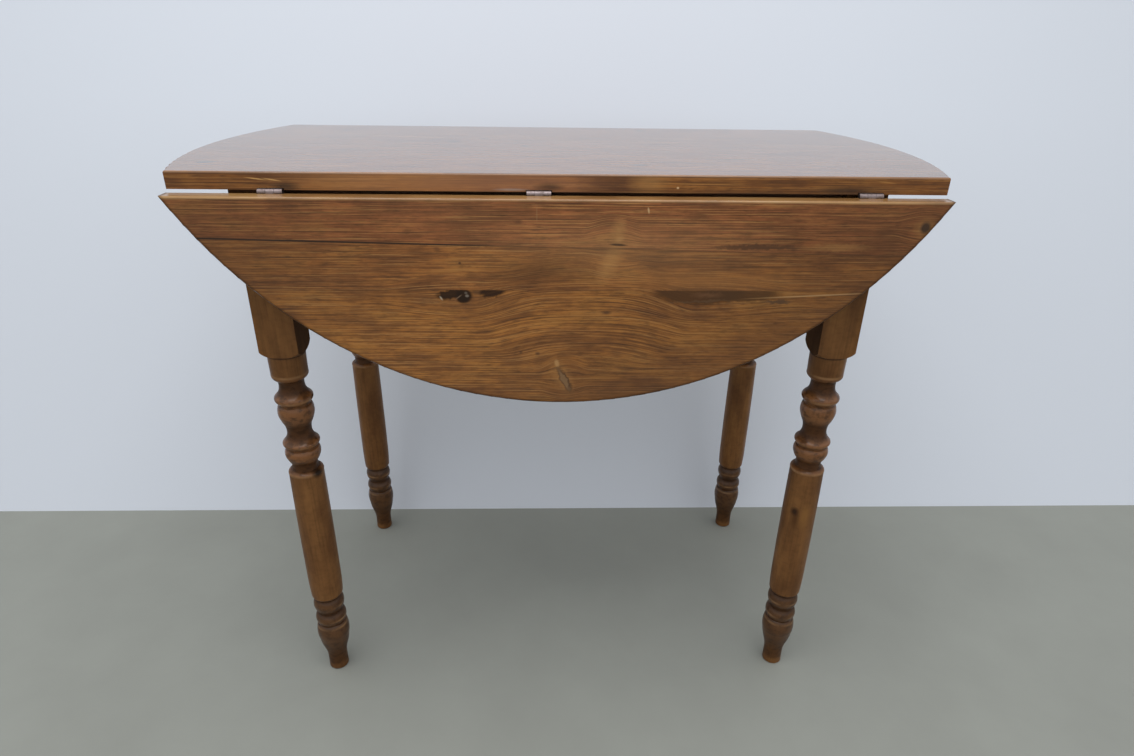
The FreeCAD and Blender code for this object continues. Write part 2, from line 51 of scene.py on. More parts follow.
# Legs: four lengths of pine, turned on a lathe below a square block that is mortised for the rails.
# They are stained brown and varnished. Stain and dirt have gathered in the turnings, the grooves, the
# crease under the block and the block's inner faces are darkened with painted shade, and the rims
# of the beads are rubbed pale and carry a painted highlight.
def linear(hex_colour):
    """A linear colour from an sRGB hex value."""
    shares = [int(hex_colour[i:i + 2], 16) / 255 for i in (1, 3, 5)]
    return [s / 12.92 if s <= 0.04045 else ((s + 0.055) / 1.055) ** 2.4 for s in shares] + [1.0]


def add(tree, kind, *feeds, **settings):
    """Adds a shader node, fills its inputs in order, and sets its properties and sockets by name.
    A MapRange's four numbers are where a pattern starts and is full, and its share at each."""
    node = tree.nodes.new("ShaderNode" + kind)
    for name, value in settings.items():
        if name[0].islower():
            setattr(node, name, value)
    named = [(node.inputs[name.replace("_", " ")], value)
             for name, value in settings.items() if name[0].isupper()]
    for socket, value in list(zip(node.inputs, feeds)) + named:
        if isinstance(value, bpy.types.Node):
            value = value.outputs[0]
        if isinstance(value, bpy.types.NodeSocket):
            tree.links.new(value, socket)
        else:
            socket.default_value = value
    return node


def new_finish(name):
    """A new material, its empty node tree and the place of each point in the frame, in metres."""
    finish = bpy.data.materials.new(name)
    finish.use_nodes = True
    finish.node_tree.nodes.clear()
    places = add(finish.node_tree, "TexCoord").outputs["Object"]
    return finish, finish.node_tree, places


def spot(tree, ground, place, half_size, turned, fade, strength):
    """The share of an oval mark: none from the fade's first distance out, full from its second in,
    both counted in half sizes from the middle."""
    local = add(tree, "Mapping", ground, place, (0.0, 0.0, turned), half_size, vector_type="TEXTURE")
    distance = add(tree, "VectorMath", local, operation="LENGTH").outputs["Value"]
    return add(tree, "MapRange", distance, *fade, 0.0, strength)


def dress(finish, slot_name, *node_names):
    """Puts a finish on CAD nodes."""
    for node_name in node_names:
        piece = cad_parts[node_name]
        piece.data.materials.clear()
        piece.data.materials.append(finish)


leg_nodes = [side + "_" + end + "_leg" for side in ("front", "rear") for end in ("left", "right")]
leg_low, leg_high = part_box("front_right_leg")
leg_x = abs(leg_low.x + leg_high.x) / 2
leg_y = abs(leg_low.y + leg_high.y) / 2
# Width, depth and height of the patterns. Real fibres are finer, and are drawn this wide to show.
leg_fibre_mm = (2.2, 2.2, 70.0)
leg_stain_mm = (26.0, 26.0, 90.0)
leg_dirt_mm = (9.0, 9.0, 6.0)
# The two turned stretches: top, bottom and stain, and how far the stain fades at their ends.
turned_zones = ((0.478, 0.342, "#764c2b"), (0.137, 0.010, "#452b15"))
zone_outside, zone_inside, zone_full = 0.002, 0.004, 0.75
# Heights of the bead rims, rubbed pale and given a painted highlight, and the band's half width, core
# and strength.
worn_and_lit_rims = (0.4795, 0.4450, 0.3828, 0.3415, 0.1210, 0.0960, 0.0828)
rim_half_width, rim_core, rim_wear_and_highlight = 0.0024, 0.0006, 0.55
# A line of painted shade under the block, where it meets the collar: height, half width, core and
# strength.
block_shade_line, line_half_width, line_core, line_full = 0.5055, 0.0018, 0.0004, 0.75
# Grooves, darkened with painted shade: the radius where it is full, where it starts, and its greatest
# share.
groove_radius, plain_radius, groove_full = 0.0165, 0.0208, 0.75
foot_top, foot_below, foot_groove_share = 0.052, 0.040, 0.25
# Place, half size, colour and strength: three marks of one knot, a chip, and a knot at the back.
leg_knots = (
    ((0.3245, -0.1855, 0.276), (0.0070, 0.008, 0.0200), "#8a6233", 0.45),
    ((0.3140, -0.1820, 0.272), (0.0052, 0.008, 0.0150), "#432810", 0.65),
    ((0.3120, -0.1812, 0.283), (0.0046, 0.008, 0.0066), "#22130a", 0.85),
    ((-0.3060, -0.1760, 0.343), (0.0070, 0.009, 0.0070), "#150c06", 0.95),
    ((0.3270, 0.1860, 0.215), (0.0060, 0.008, 0.0090), "#2f1c0c", 0.80),
)
knot_fade = (1.3, 0.4)
# The two inner faces of a block, next to the rails, are 22.5 mm from the leg's axis. They are rough,
# have no coat, and are darkened with painted shade.
inner_face, inner_painted_shade = -0.0225, 0.55
inner_skin = (inner_face + 0.0004, inner_face + 0.0001)
plain_coat, turned_coat, groove_coat = 0.08, 0.45, 0.04

# Turned pine under a brown stain: soft uneven colour, dark turnings with patches of dirt, painted
# shade in the grooves, under the block and on its inner faces, pale rims with a painted highlight,
# and a satin varnish that shines on the beads and hardly in the grooves.
leg_finish, tree, places = new_finish("turned_stained_pine")
x, y, z = add(tree, "SeparateXYZ", places).outputs
from_axis_x, from_axis_y = [
    add(tree, "Math", add(tree, "Math", place, operation="ABSOLUTE"), axis, operation="SUBTRACT")
    for place, axis in ((x, leg_x), (y, leg_y))]
from_axis = add(tree, "CombineXYZ", from_axis_x, from_axis_y, 0.0)
radius = add(tree, "VectorMath", from_axis, operation="LENGTH").outputs["Value"]
patterns = []
for pattern_mm in (leg_fibre_mm, leg_stain_mm, leg_dirt_mm):
    stretch = [1000 / mm for mm in pattern_mm]
    stretched = add(tree, "VectorMath", places, stretch, operation="MULTIPLY")
    noise = add(tree, "TexNoise", stretched, Scale=1.0, Detail=3.0, Roughness=0.6)
    patterns.append(noise.outputs["Fac"])
fibres, stains, dirt = patterns

stain_share = add(tree, "MapRange", stains, 0.36, 0.64, 0.0, 1.0)
leg_colour = add(tree, "MixRGB", stain_share, linear("#79532e"), linear("#5f3e21"))
fibre_share = add(tree, "MapRange", fibres, 0.45, 0.75, 0.0, 0.38)
leg_colour = add(tree, "MixRGB", fibre_share, leg_colour, linear("#422a15"))
turned_share = 0.0
for zone_top, zone_bottom, zone_colour in turned_zones:
    below_top = add(tree, "MapRange", z, zone_top + zone_outside, zone_top - zone_inside, 0.0, 1.0)
    above_bottom = add(tree, "MapRange", z, zone_bottom - zone_outside, zone_bottom + zone_inside,
                       0.0, zone_full)
    zone_share = add(tree, "Math", below_top, above_bottom, operation="MULTIPLY")
    leg_colour = add(tree, "MixRGB", zone_share, leg_colour, linear(zone_colour))
    turned_share = add(tree, "Math", turned_share, zone_share, operation="MAXIMUM")
dirty = add(tree, "MapRange", dirt, 0.46, 0.64, 0.0, 0.6)
where_dirty = add(tree, "MapRange", turned_share, 0.0, zone_full, 0.25, 1.0)
patch_share = add(tree, "Math", dirty, where_dirty, operation="MULTIPLY")
leg_colour = add(tree, "MixRGB", patch_share, leg_colour, linear("#2b190c"))
# The bead rims: rubbed pale, with a painted highlight laid over the wear.
for rim in worn_and_lit_rims:
    away = add(tree, "Math", add(tree, "Math", z, rim, operation="SUBTRACT"), operation="ABSOLUTE")
    near = add(tree, "MapRange", away, rim_half_width, rim_core, 0.0, rim_wear_and_highlight)
    rim_share = add(tree, "Math", near, stain_share, operation="MULTIPLY")
    leg_colour = add(tree, "MixRGB", rim_share, leg_colour, linear("#94704c"))
# Painted shade along the crease under the block.
away = add(tree, "Math", add(tree, "Math", z, block_shade_line, operation="SUBTRACT"), operation="ABSOLUTE")
shade_line_share = add(tree, "MapRange", away, line_half_width, line_core, 0.0, line_full)
leg_colour = add(tree, "MixRGB", shade_line_share, leg_colour, linear("#22130a"))
# Painted shade in the grooves, with less of it on the foot.
in_groove = add(tree, "MapRange", radius, plain_radius, groove_radius, 0.0, groove_full)
above_foot = add(tree, "MapRange", z, foot_below, foot_top, foot_groove_share, 1.0)
groove_shade_share = add(tree, "Math", in_groove, above_foot, operation="MULTIPLY")
leg_colour = add(tree, "MixRGB", groove_shade_share, leg_colour, linear("#2c190b"))
for knot_place, knot_size, knot_colour, strength in leg_knots:
    knot_share = spot(tree, places, knot_place, knot_size, 0.0, knot_fade, strength)
    leg_colour = add(tree, "MixRGB", knot_share, leg_colour, linear(knot_colour))
# The inner faces of the blocks: rough, no coat, and darkened with painted shade.
inner_x = add(tree, "MapRange", from_axis_x, *inner_skin, 0.0, 1.0)
inner_y = add(tree, "MapRange", from_axis_y, *inner_skin, 0.0, 1.0)
inner_share = add(tree, "Math", inner_x, inner_y, operation="MAXIMUM")
inner_shade_share = add(tree, "Math", inner_share, inner_painted_shade, operation="MULTIPLY")
leg_colour = add(tree, "MixRGB", inner_shade_share, leg_colour, linear("#2c1a0d"))

varnish_roughness = add(tree, "MapRange", stains, 0.3, 0.7, 0.38, 0.52)
leg_roughness = add(tree, "MapRange", inner_share, 0.0, 1.0, varnish_roughness, 0.95)
leg_coat = add(tree, "MapRange", turned_share, 0.0, zone_full, plain_coat, turned_coat)
leg_coat = add(tree, "MapRange", in_groove, 0.0, groove_full, leg_coat, groove_coat)
leg_coat = add(tree, "MapRange", inner_share, 0.0, 1.0, leg_coat, 0.0)
leg_bump = add(tree, "Bump", Height=fibres, Strength=0.10, Distance=0.0005)
leg_shader = add(tree, "BsdfPrincipled", Base_Color=leg_colour, Roughness=leg_roughness,
                 Normal=leg_bump, Specular_IOR_Level=0.14, Coat_Weight=leg_coat, Coat_IOR=1.5,
                 Coat_Roughness=0.12)
add(tree, "OutputMaterial", leg_shader)
dress(leg_finish, "leg_pine", *leg_nodes)

# Rails: four pine boards tenoned into the leg blocks, set back behind the legs' faces.
# They are stained with the legs and hardly varnished, because the leaves hide them.
# Their streaks are drawn wider than real fibres, so that they show.
rail_fibre_mm = 2.5
rail_length_mm = 110.0


def stained_rail(name, fibre_mm):
    """Planed pine under the same stain: straight streaks along the rail, and little gloss."""
    finish, tree, places = new_finish(name)
    stretch = [1000 / mm for mm in fibre_mm]
    stretched = add(tree, "VectorMath", places, stretch, operation="MULTIPLY")
    fibres = add(tree, "TexNoise", stretched, Scale=1.0, Detail=3.0, Roughness=0.6)
    share = add(tree, "MapRange", fibres, 0.3, 0.7, 0.0, 1.0)
    colour = add(tree, "MixRGB", share, linear("#3f2612"), linear("#6b4724"))
    bump = add(tree, "Bump", Height=fibres, Strength=0.2, Distance=0.0006)
    stained = add(tree, "BsdfPrincipled", Base_Color=colour, Roughness=0.5, Normal=bump)
    add(tree, "OutputMaterial", stained)
    return finish


long_rail_fibre_mm = (rail_length_mm, rail_fibre_mm, rail_fibre_mm)
end_rail_fibre_mm = (rail_fibre_mm, rail_length_mm, rail_fibre_mm)
long_rail_finish = stained_rail("stained_pine_long_rail", long_rail_fibre_mm)
end_rail_finish = stained_rail("stained_pine_end_rail", end_rail_fibre_mm)
dress(long_rail_finish, "frame_pine", "front_rail", "rear_rail")
dress(end_rail_finish, "frame_pine", "left_end_rail", "right_end_rail")

# Corner blocks: bare pine blocks, glued and screwed into the corners of the frame behind each leg.
# Nobody sees them, so they were left as sawn, and have only darkened with age.
# Their fibres are drawn as wide as the rails', so that they show.
sawn_fibre_mm = (60.0, 2.5, 2.5)


def bare_pine(name, fibre_mm):
    """Bare pine gone brown with age: pale straight fibres and no gloss."""
    finish, tree, places = new_finish(name)
    stretch = [1000 / mm for mm in fibre_mm]
    stretched = add(tree, "VectorMath", places, stretch, operation="MULTIPLY")
    fibres = add(tree, "TexNoise", stretched, Scale=1.0, Detail=4.0, Roughness=0.65)
    share = add(tree, "MapRange", fibres, 0.3, 0.7, 0.0, 1.0)
    colour = add(tree, "MixRGB", share, linear("#7d5a37"), linear("#a98257"))
    bump = add(tree, "Bump", Height=fibres, Strength=0.3, Distance=0.0006)
    aged = add(tree, "BsdfPrincipled", Base_Color=colour, Roughness=0.7, Normal=bump)
    add(tree, "OutputMaterial", aged)
    return finish


block_finish = bare_pine("bare_sawn_pine", sawn_fibre_mm)
block_nodes = [leg_node.replace("_leg", "_corner_block") for leg_node in leg_nodes]
dress(block_finish, "inner_pine", *block_nodes)

# Screws of the corner blocks: plain countersunk steel wood screws, two to a block.
# Like the other steel of the table, they are dull grey, with a thin brown tarnish in patches.
tarnish_mm = 6.0


def dull_steel(name, steel_colour, tarnish_colour):
    """Old steel: grey and softly shining, with brown patches that shine less."""
    finish, tree, places = new_finish(name)
    patches = add(tree, "TexNoise", places, Scale=1000 / tarnish_mm, Detail=4.0, Roughness=0.6)
    share = add(tree, "MapRange", patches, 0.45, 0.75, 0.0, 0.8)
    colour = add(tree, "MixRGB", share, linear(steel_colour), linear(tarnish_colour))
    roughness = add(tree, "MapRange", patches, 0.3, 0.7, 0.35, 0.6)
    bump = add(tree, "Bump", Height=patches, Strength=0.1, Distance=0.0003)
    steel = add(tree, "BsdfPrincipled", Base_Color=colour, Metallic=1.0, Roughness=roughness,
                Normal=bump)
    add(tree, "OutputMaterial", steel)
    return finish


screw_finish = dull_steel("dull_screw_steel", "#8d8881", "#5a4632")
dress(screw_finish, "screw_steel", "corner_block_screws")

# Centre top: three pine boards glued edge to edge, cut to arcs at both ends, stained brown and
# varnished. The varnish is worn to a soft gloss that mirrors the wall at a low angle, and the long
# arrises are rubbed pale and carry a painted highlight.

# Length and width of each pattern in the grain, in mm, and its fineness. Real rings, streaks and
# flecks are closer together, and are drawn this coarse to show.
grain_patterns = {
    "drift": (900.0, 45.0, 1.0),
    "wander": (260.0, 9.0, 1.0),
    "stain": (70.0, 24.0, 4.0),
    "cloud": (20.0, 7.0, 3.0),
    "streak": (110.0, 1.3, 4.0),
    "break": (80.0, 2.6, 2.0),
    "fleck": (14.0, 1.2, 3.0),
}
# Layers of colour on the boards: pattern, where it starts and is full, greatest share and colour.
stain_layers = (
    ("stain", 0.42, 0.66, 0.80, "#633818"),
    ("stain", 0.47, 0.32, 0.50, "#a07134"),
    ("cloud", 0.44, 0.66, 0.45, "#5e3615"),
    ("streak", 0.51, 0.61, 0.62, "#4f2d10"),
    ("streak", 0.46, 0.36, 0.70, "#b4834a"),
)
fleck_layer = ("fleck", 0.53, 0.70, 0.65, "#42260b")
# How far apart two boards are in the patterns.
board_shift = (7.3, 31.7, 3.9)
# Growth rings: spacing, slant, how many rings the slow patterns push them by, and the part of a ring
# where the late wood starts, is full and falls off.
ring_spacing, ring_slope = 0.0040, 0.7
drift_rings, wander_rings = 3.0, 2.4
late_start, late_full, late_fall = 0.70, 0.88, 0.92
joint_half_width, joint_core, joint_faint = 0.0012, 0.0005, 0.35
# Marks: how far and how finely an outline frays, the sizes under which it stays sharp, the soft edge
# of a mark that is cut off, and the strength from which a cut mark is bark.
fray, fray_mm = 0.007, 5.263
small_mark, thin_mark, cut_width = 0.010, 0.001, 0.0006
bark_strength = 0.8
# Edges: where the long edges of the top start, and the dark rim of a leaf, of dirt and painted shade,
# inward from its arc.
front_edge, edge_face = -0.2046, 0.2049
rim_start, rim_end, rim_full = 0.0045, 0.0010, 0.7
# A place that no point reaches, for marks that nothing cuts off.
nowhere = 9.0


def pine_boards(name, across, depth, board_colours, joints, bends, marks, worn_and_lit_edges, shine,
                edge_marks=(), rim=None):
    """Flat sawn pine under brown stain and varnish. Its growth rings are thin broken lines along X
    that bend round the knots, on boards of slightly different browns, with dark glue joints,
    arrises rubbed pale under a painted highlight and, on a leaf, a dark rim of dirt and painted shade."""
    finish, tree, places = new_finish(name)
    axes = dict(zip("XYZ", add(tree, "SeparateXYZ", places).outputs))
    along, width, thick = axes["X"], axes[across], axes[depth]
    face = add(tree, "CombineXYZ", along, width, 0.0)

    # The grain's lines swing round the knots.
    grain = width
    for place_along, place_across, reach_along, reach_across, spread, lift in bends:
        local = add(tree, "Mapping", face, (place_along, place_across, 0.0), (0.0, 0.0, 0.0),
                    (reach_along, reach_across, 1.0), vector_type="TEXTURE")
        squared = add(tree, "VectorMath", local, local, operation="DOT_PRODUCT").outputs["Value"]
        near = add(tree, "MapRange", squared, 1.0, 0.0, 0.0, 1.0, interpolation_type="SMOOTHSTEP")
        off = add(tree, "SeparateXYZ", local).outputs["Y"]
        push = add(tree, "Math", off, -spread * reach_across, -lift, operation="MULTIPLY_ADD")
        grain = add(tree, "Math", near, push, grain, operation="MULTIPLY_ADD")

    # Each board has its own brown and its own piece of the patterns.
    board = 0.0
    colour = linear(board_colours[0])
    joint_shares = []
    for (joint, slope, dark_start, dark_end, strength), next_colour in zip(joints, board_colours[1:]):
        level = add(tree, "Math", along, -slope, width, operation="MULTIPLY_ADD")
        above = add(tree, "Math", level, joint, operation="GREATER_THAN")
        board = add(tree, "Math", above, board, operation="ADD")
        colour = add(tree, "MixRGB", above, colour, linear(next_colour))
        off_joint = add(tree, "Math", level, joint, operation="SUBTRACT")
        away = add(tree, "Math", off_joint, operation="ABSOLUTE")
        line = add(tree, "MapRange", away, joint_half_width, joint_core, 0.0, strength)
        dark = add(tree, "MapRange", along, dark_end, dark_start, joint_faint, 1.0)
        joint_shares.append(add(tree, "Math", line, dark, operation="MULTIPLY"))
    grained = add(tree, "CombineXYZ", along, grain, thick)
    boards_apart = add(tree, "VectorMath", add(tree, "CombineXYZ", board, board, board), board_shift,
                       operation="MULTIPLY")
    patterns = {}
    for pattern, (along_mm, across_mm, detail) in grain_patterns.items():
        stretch = (1000 / along_mm, 1000 / across_mm, 1000 / across_mm)
        at = add(tree, "VectorMath", grained, stretch, boards_apart, operation="MULTIPLY_ADD")
        noise = add(tree, "TexNoise", at, Scale=1.0, Detail=detail, Roughness=0.6)
        patterns[pattern] = noise.outputs["Fac"]

    # Stain, then the dark late wood of the rings, then short flecks.
    for pattern, starts, full, most, layer_colour in stain_layers:
        share = add(tree, "MapRange", patterns[pattern], starts, full, 0.0, most)
        colour = add(tree, "MixRGB", share, colour, linear(layer_colour))
    slanted = add(tree, "Math", thick, ring_slope, grain, operation="MULTIPLY_ADD")
    drifted = add(tree, "Math", patterns["drift"], drift_rings, board, operation="MULTIPLY_ADD")
    drifted = add(tree, "Math", patterns["wander"], wander_rings, drifted, operation="MULTIPLY_ADD")
    rings = add(tree, "Math", slanted, 1 / ring_spacing, drifted, operation="MULTIPLY_ADD")
    ring_part = add(tree, "Math", rings, operation="FRACT")
    late_rise = add(tree, "MapRange", ring_part, late_start, late_full, 0.0, 1.0)
    late_end = add(tree, "MapRange", ring_part, 1.0, late_fall, 0.0, 1.0)
    late_wood = add(tree, "Math", late_rise, late_end, operation="MULTIPLY")
    unbroken = add(tree, "MapRange", patterns["break"], 0.42, 0.60, 0.05, 0.70)
    late_share = add(tree, "Math", late_wood, unbroken, operation="MULTIPLY")
    colour = add(tree, "MixRGB", late_share, colour, linear("#3a210c"))
    pattern, starts, full, most, layer_colour = fleck_layer
    share = add(tree, "MapRange", patterns[pattern], starts, full, 0.0, most)
    colour = add(tree, "MixRGB", share, colour, linear(layer_colour))

    # Knots, bark and worn places. The large ones have frayed outlines, and bark has no varnish.
    ragged = add(tree, "TexNoise", places, Scale=1000 / fray_mm, Detail=3.0).outputs["Color"]
    frayed = add(tree, "VectorMath", ragged, (fray, fray, 0.0), face, operation="MULTIPLY_ADD")
    bare = 0.0
    for mark in marks:
        place_along, place_across, half_along, half_across, turned = mark[:5]
        mark_colour, strength, softness, highest = mark[5:]
        small = max(half_along, half_across) < small_mark or min(half_along, half_across) < thin_mark
        ground, shift = (face, 0.0) if small else (frayed, fray / 2)
        share = spot(tree, ground, (place_along + shift, place_across + shift, 0.0),
                     (half_along, half_across, 1.0), turned, (1.0 + softness, 1.0 - softness), strength)
        if highest < nowhere:
            below = add(tree, "MapRange", width, highest, highest - cut_width, 0.0, 1.0)
            share = add(tree, "Math", share, below, operation="MULTIPLY")
            if strength > bark_strength:
                bare = add(tree, "Math", bare, share, operation="MAXIMUM")
        colour = add(tree, "MixRGB", share, colour, linear(mark_colour))
    if edge_marks:
        edge = add(tree, "CombineXYZ", along, thick, 0.0)
        on_edge = add(tree, "MapRange", width, front_edge + cut_width, front_edge, 0.0, 1.0)
    for mark in edge_marks:
        place_along, place_thick, half_along, half_thick, turned = mark[:5]
        mark_colour, strength, softness = mark[5:]
        share = spot(tree, edge, (place_along, place_thick, 0.0), (half_along, half_thick, 1.0), turned,
                     (1.0 + softness, 1.0 - softness), strength)
        share = add(tree, "Math", share, on_edge, operation="MULTIPLY")
        colour = add(tree, "MixRGB", share, colour, linear(mark_colour))

    # Dark glue joints and rubbed arrises with a painted highlight lie over all of that.
    for share in joint_shares:
        colour = add(tree, "MixRGB", share, colour, linear("#221308"))
    rubbed_and_lit = add(tree, "MapRange", patterns["stain"], 0.35, 0.65, 1.0, 0.45)
    for across_start, across_end, depth_start, depth_end, worn_and_lit_colour in worn_and_lit_edges:
        near_edge = add(tree, "MapRange", width, across_start, across_end, 0.0, 1.0)
        near_face = add(tree, "MapRange", thick, depth_start, depth_end, 0.0, 1.0)
        share = add(tree, "Math", near_edge, near_face, operation="MULTIPLY")
        share = add(tree, "Math", share, rubbed_and_lit, operation="MULTIPLY")
        colour = add(tree, "MixRGB", share, colour, linear(worn_and_lit_colour))

    # The varnish is thinner on the edges and the rim. A leaf's rim is darkened with dirt and painted
    # shade.
    undercoat, coat, edge_coat = shine
    if rim:
        rim_middle, rim_radius = rim
        middle = (0.0, rim_middle, 0.0)
        out = add(tree, "VectorMath", face, middle, operation="DISTANCE").outputs["Value"]
        rim_share = add(tree, "MapRange", out, rim_radius - rim_start, rim_radius - rim_end,
                        0.0, rim_full)
        colour = add(tree, "MixRGB", rim_share, colour, linear("#2e1c0d"))
        no_coat = add(tree, "Math", bare, rim_share, operation="MAXIMUM")
        coat = add(tree, "MapRange", no_coat, 0.0, rim_full, coat, edge_coat)
    else:
        from_middle = add(tree, "Math", width, operation="ABSOLUTE")
        at_edge = add(tree, "MapRange", from_middle, -front_edge, edge_face, 0.0, 1.0)
        coat = add(tree, "MapRange", at_edge, 0.0, 1.0, coat, edge_coat)
    roughness = add(tree, "MapRange", patterns["streak"], 0.3, 0.7, 0.34, 0.46)
    bump = add(tree, "Bump", Height=patterns["streak"], Strength=0.08, Distance=0.0005)
    varnished = add(tree, "BsdfPrincipled", Base_Color=colour, Roughness=roughness, Normal=bump,
                    Specular_IOR_Level=undercoat, Coat_Weight=coat, Coat_IOR=1.5, Coat_Roughness=0.10)
    add(tree, "OutputMaterial", varnished)
    return finish


top_colours = ("#a0662a", "#9a6129", "#9e642a")
# Joints: place across, slope, where the line is darkest and where it is faint, and strength.
top_joints = ((-0.07, 0.0, -0.5, 0.5, 0.35), (0.06, 0.0, -0.5, 0.5, 0.35))
# Bends: place along and across, reach along and across, spread round a knot, and lift.
top_bends = ((-0.12, 0.040, 0.08, 0.04, 0.8, 0.0), (0.09, -0.14, 0.1, 0.05, 0.8, 0.0))
# Marks: place along and across, half length and width, turn, colour, strength, softness, and the
# place across that cuts them off. The first is the darker face between the long arrises.
top_marks = (
    (0.0, 0.0, 5.0, 0.2032, 0.0, "#4a2c12", 0.38, 0.004, nowhere),
    (-0.137, 0.032, 0.009, 0.005, 0.0, "#1a0e06", 1.0, 0.3, nowhere),
    (-0.100, 0.061, 0.007, 0.004, 0.0, "#1a0e06", 0.95, 0.3, nowhere),
    (-0.044, -0.003, 0.006, 0.004, 0.0, "#1a0e06", 0.95, 0.3, nowhere),
    (0.086, -0.143, 0.012, 0.006, 0.0, "#24160b", 0.6, 0.4, nowhere),
    (-0.382, -0.150, 0.010, 0.005, 0.3, "#1a0e06", 0.95, 0.3, nowhere),
    (-0.359, 0.188, 0.006, 0.005, 0.0, "#1a0e06", 0.95, 0.3, nowhere),
    (-0.306, 0.143, 0.006, 0.005, 0.0, "#1a0e06", 0.95, 0.3, nowhere),
    (0.123, 0.170, 0.008, 0.005, 0.0, "#1a0e06", 0.95, 0.3, nowhere),
    (0.254, 0.182, 0.008, 0.005, 0.0, "#1a0e06", 0.95, 0.3, nowhere),
)
# Marks of the front edge, by place along and height: darker and paler stretches, with painted shade in
# the wide dark ones at the ends and painted light in the wide pale ones near the middle, darker marks
# just above the hinges, and scratches.
top_edge_marks = (
    # Painted shade: the edge darker towards both ends.
    (-0.330, 0.711, 0.150, 0.014, 0.0, "#4f2f14", 0.45, 0.6),
    (0.300, 0.711, 0.170, 0.014, 0.0, "#4f2f14", 0.45, 0.6),
    # Painted light: the edge paler near the middle.
    (-0.165, 0.711, 0.090, 0.014, 0.0, "#b07d50", 0.50, 0.6),
    (-0.040, 0.711, 0.080, 0.014, 0.0, "#96694e", 0.50, 0.6),
    (0.052, 0.711, 0.026, 0.014, 0.0, "#3a2210", 0.45, 0.6),
    (0.088, 0.712, 0.016, 0.010, 0.0, "#a57b45", 0.45, 0.6),
    (0.180, 0.703, 0.140, 0.0030, 0.0, "#2a190c", 0.50, 0.7),
    (-0.2816, 0.706, 0.011, 0.0040, 0.0, "#1f130a", 0.70, 0.6),
    (-0.0146, 0.707, 0.012, 0.0032, 0.0, "#24150b", 0.65, 0.6),
    (0.2940, 0.706, 0.024, 0.0040, 0.0, "#24150b", 0.65, 0.6),
    (-0.0535, 0.7042, 0.0140, 0.0011, 0.0, "#9a8a80", 0.65, 0.5),
    (-0.3100, 0.7130, 0.0086, 0.0006, -0.11, "#c79a5c", 0.85, 0.5),
    (-0.2942, 0.7122, 0.0076, 0.0006, -0.15, "#c79a5c", 0.85, 0.5),
    (0.1420, 0.7112, 0.0400, 0.0006, -0.01, "#a8783e", 0.55, 0.5),
    (0.3350, 0.7146, 0.0086, 0.0006, -0.12, "#a8783e", 0.60, 0.5),
    (0.1180, 0.7073, 0.0012, 0.0010, 0.0, "#d8b98c", 0.80, 0.4),
)
# Shine: the stained wood's specular level, and the varnish on the face and on the edges.
top_shine = (0.3, 1.0, 0.3)
# Worn edges, rubbed pale and given a painted highlight: where they start and are full, across and in
# height, and the colour.
top_worn_and_lit_edges = (
    (-0.2034, -0.2046, 0.7176, 0.7188, "#7d5a3a"),
    (0.2034, 0.2046, 0.7176, 0.7188, "#7d5a3a"),
)
top_finish = pine_boards("varnished_pine_top", "Y", "Z", top_colours, top_joints, top_bends, top_marks,
                         top_worn_and_lit_edges, top_shine, top_edge_marks)
dress(top_finish, "top_pine", "centre_top")

# Buttons: six small pine blocks that hold the top down, each with a tongue in a slot of the rail and
# one screw. They let the boards swell and shrink. They are bare wood, like the corner blocks.
button_fibre_mm = (40.0, 2.5, 2.5)
button_finish = bare_pine("bare_planed_pine", button_fibre_mm)
dress(button_finish, "inner_pine", "top_buttons")
dress(screw_finish, "screw_steel", "top_button_screws")

# Hinges: three in each seam, pressed from steel plate, with flaps let in flush and knuckles rolled
# round a pin. Only the grey knuckles show, in the gap between the top and the hanging leaf.
hinge_finish = dull_steel("dull_hinge_steel", "#8c8080", "#5f5148")
for side in ("front", "rear"):
    for place in ("left", "middle", "right"):
        hinge = side + "_" + place + "_hinge_"
        dress(hinge_finish, "hinge_steel", hinge + "top_plate", hinge + "leaf_plate", hinge + "pin")
dress(screw_finish, "screw_steel", "hinge_top_screws", "front_leaf_hinge_screws",
      "rear_leaf_hinge_screws")

# Leaves: three pine boards each, glued edge to edge and cut to a D, hung from the top by the hinges.
# The front leaf has a split along a joint, two bark pockets cut off flat by the other, and knots in
# the grain. The rear leaf has two knots.
leaf_colours = ("#b27330", "#aa6b30", "#a56234")
glue_line = 0.6038
# The leaf's upper edge is rubbed pale and given a painted highlight.
leaf_worn_and_lit_edges = ((0.6960, 0.6972, -1.0, -0.9, "#9c7849"),)
leaf_shine = (0.2, 0.75, 0.0)
leaf_low, leaf_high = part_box("front_leaf")
leaf_depth = leaf_high.z - leaf_low.z
rim_radius = (leaf_high.x ** 2 + leaf_depth ** 2) / (2 * leaf_depth)
leaf_rim = (leaf_low.z + rim_radius, rim_radius)

front_joints = ((glue_line, 0.0, 0.02, 0.30, 0.16), (0.6497, -0.0199, -0.11, -0.05, 0.95))
front_bends = (
    (0.025, 0.578, 0.120, 0.080, 0.0, 0.014),
    (-0.105, 0.596, 0.090, 0.030, 0.45, 0.0),
    (0.150, 0.596, 0.110, 0.032, 0.50, 0.0),
    (0.002, 0.501, 0.030, 0.034, 0.35, 0.0),
    (0.052, 0.650, 0.034, 0.040, 0.35, 0.0),
    (0.375, 0.673, 0.035, 0.024, 0.5, 0.0),
)
